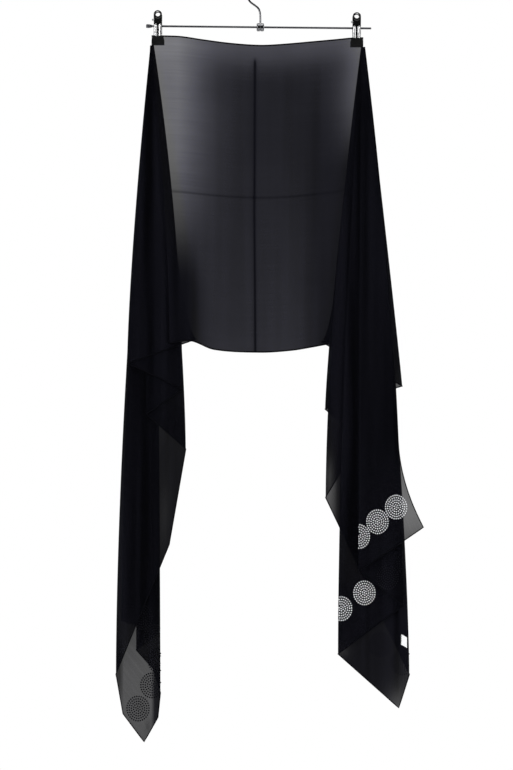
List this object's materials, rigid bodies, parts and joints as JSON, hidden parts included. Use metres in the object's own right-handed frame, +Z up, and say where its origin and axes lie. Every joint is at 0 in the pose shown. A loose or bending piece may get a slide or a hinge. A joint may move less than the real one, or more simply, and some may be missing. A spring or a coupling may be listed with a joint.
{
  "type": "sheer stole on a clip hanger",
  "caption": "Long sheer chiffon stole with bead discs at its ends, gripped by its top hem on a clip hanger so that both ends fall in folds.",
  "frame": {"origin": "inside top of the hook's crook, where the rail that carries the hanger touches it", "axes": "+Z up, +X to the right seen from the front along the hanger's rod, +Y to the back, away from the viewer"},
  "size_m": [0.5216, 0.0786, 1.3023],
  "materials": {
    "chiffon": "sheer black plain weave with a fine rolled hem",
    "crystal": "faceted clear stones backed with silver foil",
    "label": "white woven satin tape, blank",
    "chrome": "polished plating with brushed ribs",
    "dark_metal": "dark polished plating",
    "vinyl": "soft black vinyl"
  },
  "bodies": {
    "root": {"scarf_centre_panel": "chiffon", "scarf_left_tail": "chiffon", "scarf_right_tail": "chiffon", "care_label": "label", "hanger_rod": "dark_metal", "rod_knob": "dark_metal", "hook_collar": "chrome", "hook_wire": "chrome", "left_clip_front_leaf": "chrome", "left_clip_back_leaf": "chrome", "left_clip_front_pad": "vinyl", "left_clip_back_pad": "vinyl", "left_clip_spring": "chrome", "left_clip_boss": "dark_metal", "right_clip_front_leaf": "chrome", "right_clip_back_leaf": "chrome", "right_clip_front_pad": "vinyl", "right_clip_back_pad": "vinyl", "right_clip_spring": "chrome", "right_clip_boss": "dark_metal"}
  },
  "joints": []
}
